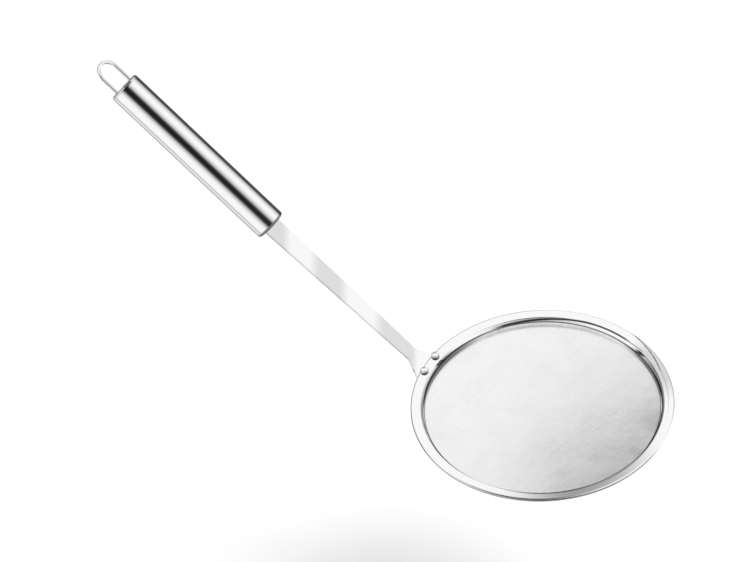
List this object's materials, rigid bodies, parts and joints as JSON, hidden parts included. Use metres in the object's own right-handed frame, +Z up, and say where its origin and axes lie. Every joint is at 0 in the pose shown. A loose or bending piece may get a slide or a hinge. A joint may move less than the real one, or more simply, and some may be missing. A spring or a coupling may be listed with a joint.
{
  "type": "skimmer",
  "caption": "Kitchen skimmer: shallow round bowl of fine steel wire cloth in a polished rim, on a flat riveted shank with a slanted round tube handle and a wire hanging loop.",
  "frame": {"origin": "on the bowl's axis, in the plane the bowl stands on; the wire cloth's underside is one sheet thickness above it", "axes": "+Z up out of the bowl along its axis, +X from the bowl towards the handle, +Y to the handle's left; the handle lies in the XZ plane"},
  "size_m": [0.3279, 0.14, 0.1506],
  "materials": {
    "polished_steel": "mirror-polished stainless steel",
    "satin_steel": "satin, brushed along the strip",
    "loop_wire": "bright drawn wire",
    "wire_cloth": "fine plain-woven wire cloth"
  },
  "bodies": {
    "root": {"rim_ring": "polished_steel", "mesh_disc": "wire_cloth", "mesh_clamp_ring": "polished_steel", "shank": "satin_steel", "rivet_left": "polished_steel", "rivet_right": "polished_steel", "front_end_cap": "polished_steel", "handle_tube": "polished_steel", "rear_end_cap": "polished_steel", "hanging_loop": "loop_wire"}
  },
  "joints": []
}
